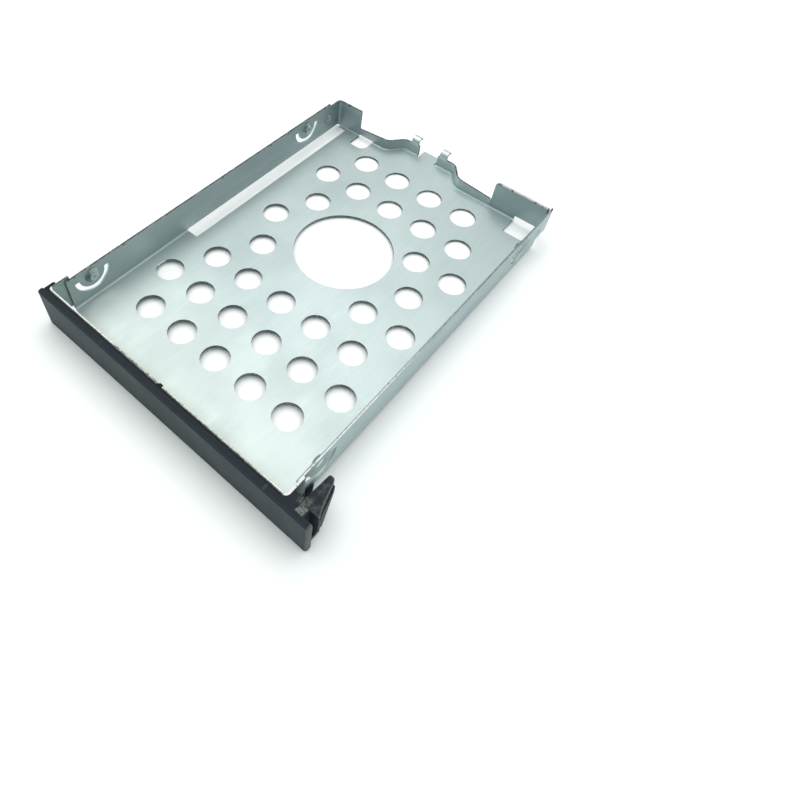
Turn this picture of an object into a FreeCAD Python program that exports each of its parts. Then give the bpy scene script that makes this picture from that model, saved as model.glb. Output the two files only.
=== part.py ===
"""Laptop drive caddy: a folded steel tray for a 2.5-inch drive with a moulded bezel across its front.

Both sub-parts are drawn in one working frame: x = 0 on the drive bay's centre line, y = 0 on the inner
face of the front flange, z = 0 on the floor that the drive lies on. Their placement then puts the origin
at the middle of the whole caddy's footprint, at the height of its lowest edge. +Y points to the back and
+Z points up.
"""
import FreeCAD, Part
import math
import os
import Sketcher
from FreeCAD import Vector

# Driving dimensions, in millimetres
DIMENSIONS = {
    # sheet
    "sheet": 0.5,
    "bend_inside": 0.6,
    "corner_inside": 0.7,
    # drive bay
    "bay_width": 70.0,
    "bay_length": 101.8,
    "wall_rise": 9.3,
    "front_rise": 9.9,
    "back_rise": 8.4,
    "lip_rise": 3.1,
    "lip_end_rise": 2.3,
    # round holes in the floor, in staggered rows, and the large window
    "hole_diameter": 7.05,
    "hole_front_margin": 15.8,
    "hole_back_margin": 9.0,
    "hole_side_margin": 7.5,
    "hole_centre": -0.35,
    "window_diameter": 26.0,
    "window_shift": 7.0,
    # slot along the foot of the left wall
    "foot_slot_width": 3.65,
    "foot_slot_start": 39.0,
    "foot_slot_back_margin": 0.4,
    "foot_slot_rise": 0.3,
    # corner tabs, folded back from the front flange along the outside of the side walls
    "wall_start": 3.4,
    "corner_relief": 0.1,
    "tab_gap": 0.05,
    "tab_length": 4.7,
    # spring pips that snap into the drive's side holes
    "pip_front_margin": 10.0,
    "pip_back_margin": 15.2,
    "pip_height": 6.6,
    "pip_base": 3.8,
    "pip_nose": 1.8,
    "pip_reach": 0.85,
    "pip_hollow": 3.2,
    "spring_slot_radius": 4.15,
    "spring_slot_width": 1.2,
    "spring_slot_lift": 0.3,
    # back edge: a shallow bulge with a wavy lip, a gap and a tongue
    "bulge_centre": -4.45,
    "bulge_top_width": 14.8,
    "bulge_depth": 4.5,
    "bulge_run": 6.3,
    "bulge_ramp": 51,
    "gap_centre": -4.9,
    "gap_width": 6.4,
    "tongue_width": 5.4,
    "tongue_length": 2.35,
    "finger_width": 2.4,
    "finger_spacing": 9.8,
    "finger_rise": 3.65,
    "finger_curl": 0.85,
    # taller flanges at both ends of the lip
    "left_flange_width": 8.25,
    "flange_gap": 0.05,
    "left_step_length": 4.5,
    "right_flange_width": 16.05,
    "right_flange_corner": 0.9,
    "back_slit_width": 0.5,
    # reliefs at the back corners
    "left_relief_width": 5.2,
    "left_relief_length": 4.9,
    "left_relief_rise": 0.4,
    "left_relief_corner": 0.7,
    "left_relief_sweep": 2.2,
    "right_relief_length": 5.9,
    "right_relief_width": 8.3,
    "right_relief_rise": 1.2,
    "right_wall_step": 2.6,
    # bezel plate
    "bezel_clearance": 0.05,
    "bezel_thickness": 1.85,
    "bezel_end_thickness": 1.35,
    "bezel_left_end": 37.75,
    "bezel_right_end": 42.75,
    "bezel_drop": 2.1,
    "bezel_rise": 9.7,
    "bezel_edge": 0.35,
    "bezel_end_edge": 0.7,
    "soft_edge": 0.45,
    # returns round the tray's front corners
    "return_thickness": 0.9,
    "return_length": 1.75,
    "right_return_width": 2.25,
    # snap over the front flange
    "snap_place": 1.4,
    "snap_width": 1.3,
    "snap_depth": 0.9,
    "snap_overlap": 0.35,
    "nub_width": 0.9,
    "nub_reach": 0.4,
    # guide ear at the right end
    "ear_stem_width": 4.35,
    "ear_front": 0.8,
    "ear_length": 7.6,
    "ear_front_width": 4.35,
    "ear_shoulder": 2.5,
    "ear_shoulder_width": 3.5,
    "ear_tip_width": 1.2,
    "ear_lean": 0.5,
    "ear_rise": 9.3,
    "ear_back_rise": 4.4,
    "ear_foot": 0.5,
    "ear_ledge": 0.35,
    "ear_ledge_rise": 6.4,
    "ear_taper_rise": 3.2,
    "ear_web_width": 1.5,
    "ear_web_thickness": 1.4,
}

# Where the round holes are: row number, then the places in the row, counted in pitches from the centre
HOLE_ROWS = {
    0: (-2, -1, 0, 1, 2),
    1: (-2.5, -1.5, -0.5, 0.5, 1.5, 2.5),
    2: (-2, -1, 0, 1, 2),
    3: (-1.5, 1.5, 2.5),
    4: (-2, 2),
    5: (-1.5, 1.5, 2.5),
    6: (-2, -1, 0, 1, 2),
    7: (-1.5, -0.5, 0.5, 1.5),
}

# Pitches across the widest row
HOLES_ACROSS = 5

# How far a cut runs past the metal it removes
PAST = 4.0

# Two coordinates nearer than this are the same
CLOSE = 1e-4

# An edge longer than this is one of a piece's main edges
LONG = 1.0

# Share of a radius that lies along each axis at 45 degrees
DIAGONAL = 0.5 ** 0.5


class Size:
    """A length with its number and the sheet formula that it comes from."""

    def __init__(self, number, formula=None):
        self.number = float(number)
        self.formula = formula if formula is not None else repr(float(number))

    def _with(self, other, number, sign):
        return Size(number, f"({self.formula} {sign} {other.formula})")

    def __add__(self, other):
        other = as_size(other)
        return self._with(other, self.number + other.number, "+")

    def __sub__(self, other):
        other = as_size(other)
        return self._with(other, self.number - other.number, "-")

    def __mul__(self, other):
        other = as_size(other)
        return self._with(other, self.number * other.number, "*")

    def __truediv__(self, other):
        other = as_size(other)
        return self._with(other, self.number / other.number, "/")

    def __neg__(self):
        return Size(-self.number, f"(-1 * {self.formula})")


def as_size(value):
    """A plain number becomes a Size, and a Size stays as it is."""
    return value if isinstance(value, Size) else Size(value)


class Arc:
    """The round edge from one corner of a profile to the next, about a centre."""

    def __init__(self, x, y, turns_left):
        self.x = as_size(x)
        self.y = as_size(y)
        self.turns_left = turns_left


doc = FreeCAD.newDocument("drive_caddy")
sheet = doc.addObject("Spreadsheet::Sheet", "dims")
for row, (name, number) in enumerate(DIMENSIONS.items(), start=1):
    sheet.set(f"A{row}", name)
    sheet.set(f"B{row}", str(number))
    sheet.setAlias(f"B{row}", name)
doc.recompute()


def dim(name):
    """The named cell as a Size."""
    return Size(DIMENSIONS[name], f"dims.{name}")


def bind(thing, place, size):
    """Ties one property of a document object to the sheet."""
    thing.setExpression(place, as_size(size).formula)


def sketch_on(body, role, name, offset=0):
    """An empty sketch on one of the body's own origin planes, moved along the plane's normal."""
    sketch = body.newObject("Sketcher::SketchObject", name)
    plane = [item for item in body.Origin.OriginFeatures if item.Role == role][0]
    sketch.AttachmentSupport = [(plane, "")]
    sketch.MapMode = "FlatFace"
    offset = as_size(offset)
    sketch.AttachmentOffset = FreeCAD.Placement(Vector(0, 0, offset.number), FreeCAD.Rotation())
    bind(sketch, "AttachmentOffset.Base.z", offset)
    return sketch


def pin(sketch, geometry, point, x=None, y=None):
    """Holds a point of a sketch at the given coordinates."""
    for kind, size in (("DistanceX", x), ("DistanceY", y)):
        if size is not None:
            size = as_size(size)
            number = sketch.addConstraint(Sketcher.Constraint(kind, geometry, point, size.number))
            bind(sketch, f"Constraints[{number}]", size)


def closed_profile(sketch, corners):
    """Lines and arcs through the corners, held by the sheet. A corner with a third entry starts an arc."""
    ends = []
    for index, corner in enumerate(corners):
        after = corners[(index + 1) % len(corners)]
        start = Vector(as_size(corner[0]).number, as_size(corner[1]).number, 0)
        end = Vector(as_size(after[0]).number, as_size(after[1]).number, 0)
        if len(corner) == 2:
            geometry = sketch.addGeometry(Part.LineSegment(start, end), False)
            ends.append((geometry, 1, 2))
            continue
        arc = corner[2]
        centre = Vector(arc.x.number, arc.y.number, 0)
        first, last = (start, end) if arc.turns_left else (end, start)
        circle = Part.Circle(centre, Vector(0, 0, 1), (start - centre).Length)
        shape = Part.ArcOfCircle(circle, circle.parameter(first), circle.parameter(last))
        geometry = sketch.addGeometry(shape, False)
        ends.append((geometry, 1, 2) if arc.turns_left else (geometry, 2, 1))
        chord = end - start
        if abs(chord.y) > abs(chord.x):
            pin(sketch, geometry, 3, x=arc.x)
        else:
            pin(sketch, geometry, 3, y=arc.y)
    for index, (geometry, start, end) in enumerate(ends):
        following = ends[(index + 1) % len(ends)]
        sketch.addConstraint(Sketcher.Constraint("Coincident", geometry, end, following[0], following[1]))
        pin(sketch, geometry, start, corners[index][0], corners[index][1])


def rectangle(sketch, x_low, y_low, x_high, y_high):
    """A closed rectangle between two corners."""
    closed_profile(sketch, [(x_low, y_low), (x_high, y_low), (x_high, y_high), (x_low, y_high)])


def circle(sketch, x, y, diameter):
    """A full circle."""
    diameter = as_size(diameter)
    middle = Vector(as_size(x).number, as_size(y).number, 0)
    geometry = sketch.addGeometry(Part.Circle(middle, Vector(0, 0, 1), diameter.number / 2), False)
    pin(sketch, geometry, 3, x, y)
    number = sketch.addConstraint(Sketcher.Constraint("Diameter", geometry, diameter.number))
    bind(sketch, f"Constraints[{number}]", diameter)


def pad(body, sketch, name, length, reverse=False):
    """Material along the sketch's normal."""
    feature = body.newObject("PartDesign::Pad", name)
    feature.Profile = sketch
    feature.Reversed = reverse
    bind(feature, "Length", length)
    return feature


def cut(body, sketch, name, length, reverse=False):
    """A pocket along the sketch's normal, which must take material away."""
    doc.recompute()
    before = body.Shape.Volume
    feature = body.newObject("PartDesign::Pocket", name)
    feature.Profile = sketch
    feature.Reversed = not reverse
    bind(feature, "Length", length)
    doc.recompute()
    if body.Shape.Volume > before - CLOSE:
        raise ValueError(f"{name} cuts nothing")
    return feature


def edges_where(shape, test):
    """Names of the edges whose box passes a test."""
    return [f"Edge{index}" for index, edge in enumerate(shape.Edges, start=1) if test(edge.BoundBox)]


def dress(body, kind, name, place, size, test):
    """Dresses the edges of the body's tip whose boxes pass a test."""
    doc.recompute()
    base = body.Tip
    feature = body.newObject(kind, name)
    feature.Base = (base, edges_where(base.Shape, test))
    bind(feature, place, size)
    doc.recompute()
    return feature


def fillet(body, name, radius, test):
    """Rounds edges."""
    return dress(body, "PartDesign::Fillet", name, "Radius", radius, test)


def chamfer(body, name, size, test):
    """Bevels edges."""
    return dress(body, "PartDesign::Chamfer", name, "Size", size, test)


# Lengths that several features share
metal = dim("sheet")
half_bay = dim("bay_width") / 2
outside = half_bay + metal
front_face = -metal
back_face = dim("bay_length") + metal
bend_outside = dim("bend_inside") + metal
row_pitch = (dim("bay_length") - dim("hole_front_margin") - dim("hole_back_margin")) / max(HOLE_ROWS)
hole_pitch = (dim("bay_width") - dim("hole_side_margin") * 2) / HOLES_ACROSS
pip_front = dim("pip_front_margin")
pip_back = dim("bay_length") - dim("pip_back_margin")
bulge_half_top = dim("bulge_top_width") / 2
bulge_face = back_face + dim("bulge_depth")
bulge_left = dim("bulge_centre") - bulge_half_top
bulge_right = dim("bulge_centre") + bulge_half_top
run = dim("bulge_run")
drop = dim("bulge_depth")
half_ramp = Size(math.tan(math.radians(DIMENSIONS["bulge_ramp"] / 2)), "tan(dims.bulge_ramp / 2)")
half_square = half_ramp * half_ramp
swing = (run * half_ramp * 2 - drop * (Size(1) - half_square)) / (half_square * 4)
swing_along = swing * half_ramp * 2 / (half_square + 1)
swing_across = swing_along * half_ramp
gap_left = dim("gap_centre") - dim("gap_width") / 2
gap_right = dim("gap_centre") + dim("gap_width") / 2
tab_inside = outside + dim("tab_gap")
tab_outside = tab_inside + metal
flange_end = half_bay - dim("corner_inside") - dim("corner_relief")
left_flange_end = dim("left_flange_width") - half_bay
right_flange_start = half_bay - dim("right_flange_width")
left_step_start = dim("bay_length") - dim("left_step_length")
right_relief_start = dim("bay_length") - dim("right_relief_length")
notch_floor = dim("front_rise") - dim("snap_depth")
seat_face = front_face - dim("bezel_clearance")
seat_side = tab_outside + dim("bezel_clearance")
bezel_front = seat_face - dim("bezel_thickness")
end_back = bezel_front + dim("bezel_end_thickness")
return_outside = seat_side + dim("return_thickness")
ear_side = seat_side + dim("right_return_width")
stem_right = seat_side + dim("ear_stem_width")
snap_bottom = notch_floor + dim("bezel_clearance")


def near(value, size):
    """True where a coordinate is the size asked for."""
    return abs(value - as_size(size).number) < CLOSE


def is_upright(box):
    """True for the box of a long upright edge."""
    return box.ZLength > LONG and box.XLength < CLOSE and box.YLength < CLOSE


def make_tray():
    """The folded sheet: a pan with rounded bends, shelled to one thickness, then trimmed and pierced."""
    body = doc.addObject("PartDesign::Body", "tray")
    body.Label = "tray"

    # pan: the outside of all folds, with the bulge in the back edge drawn as two S-curves
    plan = sketch_on(body, "XY_Plane", "pan_plan", -metal)
    left_start = bulge_left - run
    right_end = bulge_right + run
    ramp_foot = back_face + swing_across
    ramp_head = bulge_face - swing_across
    closed_profile(plan, [
        (-outside, front_face),
        (outside, front_face),
        (outside, back_face),
        (right_end, back_face, Arc(right_end, back_face + swing, False)),
        (right_end - swing_along, ramp_foot),
        (bulge_right + swing_along, ramp_head, Arc(bulge_right, bulge_face - swing, True)),
        (bulge_right, bulge_face),
        (bulge_left, bulge_face, Arc(bulge_left, bulge_face - swing, True)),
        (bulge_left - swing_along, ramp_head),
        (left_start + swing_along, ramp_foot, Arc(left_start, back_face + swing, False)),
        (left_start, back_face),
        (-outside, back_face),
    ])
    pad(body, plan, "pan", dim("front_rise") + metal)

    fillet(body, "corners", dim("corner_inside") + metal,
           lambda box: is_upright(box) and near(abs(box.XMin), outside))
    fillet(body, "bends", bend_outside,
           lambda box: near(box.ZMax, -metal) and near(box.YMin, front_face) and box.XLength > LONG
           and box.YLength < CLOSE)

    pan = body.Tip
    open_top = [f"Face{index}" for index, face in enumerate(pan.Shape.Faces, start=1)
                if near(face.BoundBox.ZMin, dim("front_rise"))]
    shell = body.newObject("PartDesign::Thickness", "sheet_shell")
    shell.Base = (pan, open_top)
    shell.Reversed = True
    shell.Mode = "Skin"
    shell.Join = "Arc"
    bind(shell, "Value", metal)
    doc.recompute()

    trim_walls(body)
    fold_tabs(body)
    open_back(body)
    open_edges(body)
    slot_walls(body)
    press_pips(body)
    pierce_floor(body)
    return body


def trim_walls(body):
    """Cuts each fold to its own height and parts the corner tabs from the side walls."""
    above = dim("front_rise") + PAST
    wide = outside + PAST

    side = sketch_on(body, "YZ_Plane", "wall_top_line", -wide)
    rectangle(side, dim("wall_start") / 2, dim("wall_rise"), bulge_face + PAST, above)
    cut(body, side, "wall_tops", wide * 2)

    back = sketch_on(body, "XZ_Plane", "back_top_line", -left_step_start)
    corner_x = right_flange_start + dim("right_flange_corner")
    corner_z = dim("back_rise") - dim("right_flange_corner")
    closed_profile(back, [
        (-wide, above),
        (-wide, dim("back_rise")),
        (left_flange_end, dim("back_rise")),
        (left_flange_end, dim("lip_end_rise")),
        (bulge_left - run, dim("lip_rise")),
        (bulge_right + run, dim("lip_rise")),
        (right_flange_start, dim("lip_end_rise")),
        (right_flange_start, corner_z, Arc(corner_x, corner_z, False)),
        (corner_x, dim("back_rise")),
        (half_bay, dim("back_rise")),
        (half_bay, above),
    ])
    cut(body, back, "back_tops", bulge_face + PAST - left_step_start, reverse=True)

    notch = sketch_on(body, "XZ_Plane", "snap_notch_line", -PAST)
    half_notch = dim("snap_width") / 2 + dim("bezel_clearance")
    rectangle(notch, dim("snap_place") - half_notch, notch_floor, dim("snap_place") + half_notch, above)
    cut(body, notch, "snap_notch", PAST * 2)

    corner = sketch_on(body, "XY_Plane", "back_slit_plan", -PAST)
    rectangle(corner, half_bay - dim("back_slit_width"), right_relief_start,
              half_bay, back_face + PAST)
    cut(body, corner, "back_slit", above + PAST)


def fold_tabs(body):
    """Cuts away the pan's front corners and folds a tab round each, back from the front flange."""
    for label, turn in (("left", -1), ("right", 1)):
        corner = sketch_on(body, "XY_Plane", f"{label}_corner_plan", -(metal + PAST))
        inner = flange_end * turn
        outer = (outside + PAST) * turn
        closed_profile(corner, [
            (inner, front_face - PAST), (outer, front_face - PAST),
            (outer, dim("wall_start")), (inner, dim("wall_start")),
        ])
        cut(body, corner, f"{label}_corner", dim("front_rise") + metal + PAST * 2)

        tab = sketch_on(body, "XY_Plane", f"{label}_tab_plan", dim("bend_inside"))
        root = (flange_end - metal) * turn
        bend_x = (tab_outside - bend_outside) * turn
        bend_y = front_face + bend_outside
        closed_profile(tab, [
            (root, front_face),
            (bend_x, front_face, Arc(bend_x, bend_y, turn > 0)),
            (tab_outside * turn, bend_y),
            (tab_outside * turn, dim("tab_length")),
            (tab_inside * turn, dim("tab_length")),
            (tab_inside * turn, bend_y, Arc(bend_x, bend_y, turn < 0)),
            (bend_x, 0),
            (root, 0),
        ])
        pad(body, tab, f"{label}_tab", dim("front_rise") - dim("bend_inside"))


def open_back(body):
    """Opens the lip in its middle, lays the tongue through the gap and curls the two fingers."""
    gap = sketch_on(body, "XY_Plane", "gap_plan", -PAST)
    rectangle(gap, gap_left, bulge_face - bend_outside, gap_right, bulge_face + PAST)
    cut(body, gap, "lip_gap", dim("front_rise") + PAST)

    tongue = sketch_on(body, "XY_Plane", "tongue_plan", -metal)
    half_tongue = dim("tongue_width") / 2
    rectangle(tongue, dim("gap_centre") - half_tongue, bulge_face - bend_outside * 2,
              dim("gap_centre") + half_tongue, bulge_face + dim("tongue_length"))
    pad(body, tongue, "tongue", metal)

    inner = bulge_face - metal
    curl = dim("finger_curl")
    top = dim("finger_rise")
    middle = bulge_face + curl
    outer_reach = (curl + metal) * DIAGONAL
    inner_reach = curl * DIAGONAL
    for side, turn in (("left", -1), ("right", 1)):
        centre = dim("gap_centre") + dim("finger_spacing") / 2 * turn
        finger = sketch_on(body, "YZ_Plane", f"{side}_finger_line", centre - dim("finger_width") / 2)
        closed_profile(finger, [
            (inner, dim("lip_rise") - metal),
            (bulge_face, dim("lip_rise") - metal),
            (bulge_face, top, Arc(middle, top, False)),
            (middle + inner_reach, top + inner_reach),
            (middle + outer_reach, top + outer_reach, Arc(middle, top, True)),
            (inner, top),
        ])
        pad(body, finger, f"{side}_finger", dim("finger_width"))


def open_edges(body):
    """The openings along the edges of the floor, where bends meet or are left out."""
    below = -(metal + PAST)

    # the left flange is bent round from the side wall, so its foot stands free of the floor
    corner = dim("corner_inside")
    corner_x = corner - half_bay
    corner_y = dim("bay_length") - corner
    start = corner_y - dim("corner_relief")
    foot = sketch_on(body, "XY_Plane", "left_foot_plan", below)
    rectangle(foot, -(outside + PAST), start, left_flange_end, back_face + PAST)
    cut(body, foot, "left_foot_opening", dim("bend_inside") - below)

    flange = sketch_on(body, "XY_Plane", "left_flange_plan", dim("flange_gap"))
    closed_profile(flange, [
        (-outside, start),
        (-half_bay, start),
        (-half_bay, corner_y, Arc(corner_x, corner_y, False)),
        (corner_x, dim("bay_length")),
        (left_flange_end, dim("bay_length")),
        (left_flange_end, back_face),
        (corner_x, back_face, Arc(corner_x, corner_y, True)),
        (-outside, corner_y),
    ])
    pad(body, flange, "left_flange_foot", dim("bend_inside") - dim("flange_gap"))

    strip = sketch_on(body, "XY_Plane", "floor_end_plan", -metal)
    rectangle(strip, corner_x, start - bend_outside,
              left_flange_end, dim("bay_length") - dim("flange_gap"))
    pad(body, strip, "floor_end", metal)

    slot = sketch_on(body, "XY_Plane", "foot_slot_plan", below)
    rectangle(slot, -(outside + PAST), dim("foot_slot_start"),
              dim("foot_slot_width") - half_bay, dim("bay_length") - dim("foot_slot_back_margin"))
    cut(body, slot, "foot_slot", dim("foot_slot_rise") - below)

    relief = sketch_on(body, "XY_Plane", "left_relief_plan", below)
    relief_left = left_flange_end
    relief_right = left_flange_end + dim("left_relief_width")
    relief_front = dim("bay_length") - dim("left_relief_length")
    turn = dim("left_relief_corner")
    sweep = dim("left_relief_sweep")
    closed_profile(relief, [
        (relief_left, back_face + PAST),
        (relief_left, relief_front + turn, Arc(relief_left + turn, relief_front + turn, True)),
        (relief_left + turn, relief_front),
        (relief_right - sweep, relief_front, Arc(relief_right - sweep, relief_front + sweep, True)),
        (relief_right, relief_front + sweep),
        (relief_right, back_face + PAST),
    ])
    cut(body, relief, "left_relief", dim("left_relief_rise") - below)

    notch = sketch_on(body, "XY_Plane", "right_relief_plan", below)
    rectangle(notch, half_bay - dim("right_relief_width"), right_relief_start,
              outside + PAST, back_face + PAST)
    cut(body, notch, "right_relief", dim("right_relief_rise") - below)

    step = sketch_on(body, "XY_Plane", "right_step_plan", below)
    rectangle(step, half_bay - metal, right_relief_start, outside + PAST, dim("bay_length"))
    cut(body, step, "right_step", dim("right_wall_step") - below)


def pierce_floor(body):
    """The staggered round holes and the large window."""
    below = -(metal + PAST)
    through = metal + PAST * 2

    window = sketch_on(body, "XY_Plane", "window_plan", below)
    rows_middle = dim("hole_front_margin") + row_pitch * max(HOLE_ROWS) / 2
    circle(window, 0, rows_middle + dim("window_shift"), dim("window_diameter"))
    cut(body, window, "window", through)

    rows = sketch_on(body, "XY_Plane", "hole_plan", below)
    for row, places in HOLE_ROWS.items():
        for place in places:
            circle(rows, dim("hole_centre") + hole_pitch * place,
                   dim("hole_front_margin") + row_pitch * row, dim("hole_diameter"))
    cut(body, rows, "floor_holes", through)


def slot_walls(body):
    """The round slots under the pips, which free each one to spring."""
    wide = outside + PAST
    slots = sketch_on(body, "YZ_Plane", "spring_slot_line", -wide)
    z = dim("pip_height") + dim("spring_slot_lift")
    half = dim("spring_slot_width") / 2
    outer = dim("spring_slot_radius") + half
    inner = dim("spring_slot_radius") - half
    for y in (pip_front, pip_back):
        closed_profile(slots, [
            (y - outer, z, Arc(y, z, True)),
            (y + outer, z),
            (y + inner, z, Arc(y, z, False)),
            (y - inner, z),
        ])
    cut(body, slots, "spring_slots", wide * 2)


def pip_sketch(body, name, y):
    """An empty sketch across a side wall, with its origin on a pip's axis."""
    height = dim("pip_height")
    sketch = sketch_on(body, "XZ_Plane", name, -y)
    sketch.AttachmentOffset = FreeCAD.Placement(Vector(0, height.number, -y.number), FreeCAD.Rotation())
    bind(sketch, "AttachmentOffset.Base.y", height)
    return sketch


def turn_about_axis(body, kind, name, sketch):
    """One full turn of a profile about the sketch's own level axis."""
    feature = body.newObject(kind, name)
    feature.Profile = sketch
    feature.ReferenceAxis = (sketch, ["H_Axis"])
    feature.Angle = 360
    doc.recompute()


def press_pips(body):
    """Two pips in each side wall: a cone pressed inwards, then its hollow from outside."""
    half_base = dim("pip_base") / 2
    half_nose = dim("pip_nose") / 2
    half_hollow = dim("pip_hollow") / 2
    for side, label in ((-1, "left"), (1, "right")):
        inside = half_bay * side
        skin = metal * side
        tip = (half_bay - dim("pip_reach")) * side
        for place, y in (("front", pip_front), ("back", pip_back)):
            name = f"{label}_{place}_pip"
            form = pip_sketch(body, f"{name}_form", y)
            closed_profile(form, [
                (inside + skin, 0), (inside + skin, half_base), (inside, half_base),
                (tip, half_nose), (tip, 0),
            ])
            turn_about_axis(body, "PartDesign::Revolution", name, form)

            hollow = pip_sketch(body, f"{name}_hollow_form", y)
            closed_profile(hollow, [(inside + skin, 0), (inside + skin, half_hollow), (tip + skin, 0)])
            before = body.Shape.Volume
            turn_about_axis(body, "PartDesign::Groove", f"{name}_hollow", hollow)
            if body.Shape.Volume > before - CLOSE:
                raise ValueError(f"{name} has no hollow")


def make_bezel():
    """The moulding: a plate with a return round each front corner of the tray, a snap and a guide ear."""
    body = doc.addObject("PartDesign::Body", "bezel")
    body.Label = "bezel"

    # plate, with thinner ends
    plate = sketch_on(body, "XY_Plane", "plate_plan", -dim("bezel_drop"))
    closed_profile(plate, [
        (-dim("bezel_left_end"), bezel_front),
        (dim("bezel_right_end"), bezel_front),
        (dim("bezel_right_end"), end_back),
        (stem_right, end_back),
        (stem_right, seat_face),
        (-return_outside, seat_face),
        (-return_outside, end_back),
        (-dim("bezel_left_end"), end_back),
    ])
    pad(body, plate, "plate", dim("bezel_rise") + dim("bezel_drop"))

    # returns, rounded inside to follow the tray's folded corners
    curve = bend_outside + dim("bezel_clearance")
    for label, turn, far in (("left", -1, return_outside), ("right", 1, ear_side)):
        plan = sketch_on(body, "XY_Plane", f"{label}_return_plan", -metal)
        near_side = seat_side * turn
        arc_side = (seat_side - curve) * turn
        corners = [
            (far * turn, end_back),
            (far * turn, dim("return_length")),
            (near_side, dim("return_length")),
            (near_side, seat_face + curve, Arc(arc_side, seat_face + curve, turn < 0)),
            (arc_side, seat_face),
            (arc_side, end_back),
        ]
        closed_profile(plan, corners)
        pad(body, plan, f"{label}_return", dim("bezel_rise") + metal)

    # snap that reaches over the notch in the front flange
    snap = sketch_on(body, "XY_Plane", "snap_plan", snap_bottom)
    half_snap = dim("snap_width") / 2
    snap_back = front_face + dim("snap_overlap")
    rectangle(snap, dim("snap_place") - half_snap, seat_face - metal,
              dim("snap_place") + half_snap, snap_back)
    pad(body, snap, "snap", dim("bezel_rise") - snap_bottom)

    nub = sketch_on(body, "XY_Plane", "nub_plan", snap_bottom)
    half_nub = dim("nub_width") / 2
    rectangle(nub, dim("snap_place") - half_nub, seat_face - metal, dim("snap_place") + half_nub,
              snap_back + dim("nub_reach"))
    pad(body, nub, "nub", dim("bezel_rise") - snap_bottom)

    make_ear(body)

    def on_front(box):
        return near(box.YMin, bezel_front) and near(box.YMax, bezel_front)

    def at_soft_end(box):
        at_return = near(box.XMin, -return_outside) and near(box.YMin, dim("return_length"))
        at_ear_tip = near(box.YMin, dim("ear_front") + dim("ear_length"))
        return at_return or at_ear_tip

    fillet(body, "plate_ends", dim("bezel_end_edge"), lambda box: on_front(box) and box.ZLength > LONG)
    chamfer(body, "plate_edges", dim("bezel_edge"), lambda box: on_front(box) and box.XLength > LONG)
    fillet(body, "soft_ends", dim("soft_edge"), lambda box: is_upright(box) and at_soft_end(box))
    return body


def make_ear(body):
    """The wedge at the right end that guides the caddy into its slot, with the stem and web that carry it."""
    stem = sketch_on(body, "XY_Plane", "stem_plan", -dim("bezel_drop"))
    rectangle(stem, seat_side, seat_face - metal, stem_right, dim("ear_front"))
    pad(body, stem, "stem", dim("ear_rise") + dim("bezel_drop"))

    web = sketch_on(body, "XY_Plane", "web_plan", -dim("bezel_drop"))
    rectangle(web, seat_side, seat_face - metal, stem_right + dim("ear_web_width"), dim("ear_shoulder"))
    pad(body, web, "web", dim("ear_web_thickness"))

    tip = dim("ear_front") + dim("ear_length")
    lean = ear_side + dim("ear_lean")
    steps = (("ear", dim("ear_rise"), 0), ("ear_ledge", dim("ear_ledge_rise"), dim("ear_ledge")))
    for name, top, ledge in steps:
        plan = sketch_on(body, "XY_Plane", f"{name}_plan", -dim("ear_foot"))
        closed_profile(plan, [
            (ear_side, dim("ear_front")),
            (ear_side + dim("ear_front_width"), dim("ear_front")),
            (ear_side + dim("ear_shoulder_width") + ledge, dim("ear_shoulder")),
            (lean + dim("ear_tip_width") + ledge, tip),
            (lean, tip),
        ])
        pad(body, plan, name, top + dim("ear_foot"))

    taper = sketch_on(body, "XZ_Plane", "ear_taper_line", -dim("ear_front"))
    ear_edge = ear_side + dim("ear_front_width")
    closed_profile(taper, [
        (stem_right + dim("ear_web_width"), -dim("ear_foot")),
        (ear_edge + PAST, -dim("ear_foot")),
        (ear_edge + PAST, dim("ear_taper_rise")),
        (ear_edge, dim("ear_taper_rise")),
    ])
    cut(body, taper, "ear_taper", dim("ear_length") + PAST, reverse=True)

    slope = sketch_on(body, "YZ_Plane", "ear_slope_line", ear_side - dim("right_return_width") / 2)
    closed_profile(slope, [
        (dim("ear_shoulder"), -dim("ear_foot")),
        (dim("ear_shoulder"), -(dim("bezel_drop") + PAST)),
        (tip + PAST, -(dim("bezel_drop") + PAST)),
        (tip + PAST, dim("ear_back_rise")),
        (tip, dim("ear_back_rise")),
    ])
    cut(body, slope, "ear_slope", dim("ear_front_width") + dim("right_return_width") + PAST)


def write_out(bodies):
    """Stops on anything that failed, then writes one file for each sub-part."""
    doc.recompute()
    for item in doc.Objects:
        if {"Invalid", "Error"} & set(item.State):
            raise ValueError(f"{item.Name} failed: {item.State}")
    os.makedirs("parts", exist_ok=True)
    for body in bodies:
        if body.Shape.isNull() or not body.Shape.isValid():
            raise ValueError(f"{body.Label} has no valid shape")
        body.Shape.exportStep(f"parts/{body.Label}.step")
        box = body.Shape.BoundBox
        print(body.Label, len(body.Shape.Solids), "solids", round(body.Shape.Volume, 2), "mm3", box)


def place(bodies):
    """Moves the working frame so that the origin is under the middle of the whole caddy."""
    back_end = bulge_face + dim("tongue_length")
    shift = {
        "x": (dim("bezel_left_end") - dim("bezel_right_end")) / 2,
        "y": -(bezel_front + back_end) / 2,
        "z": dim("bezel_drop"),
    }
    for body in bodies:
        for axis, size in shift.items():
            bind(body, f"Placement.Base.{axis}", size)


parts = [make_tray(), make_bezel()]
place(parts)
write_out(parts)
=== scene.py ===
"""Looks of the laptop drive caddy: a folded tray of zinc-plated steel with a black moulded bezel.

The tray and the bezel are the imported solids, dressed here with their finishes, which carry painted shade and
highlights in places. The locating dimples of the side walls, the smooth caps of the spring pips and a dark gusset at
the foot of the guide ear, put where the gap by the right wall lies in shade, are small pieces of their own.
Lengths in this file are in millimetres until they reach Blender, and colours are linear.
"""
import math
from collections import namedtuple

import bmesh
import bpy
from mathutils import Matrix, Vector


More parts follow.
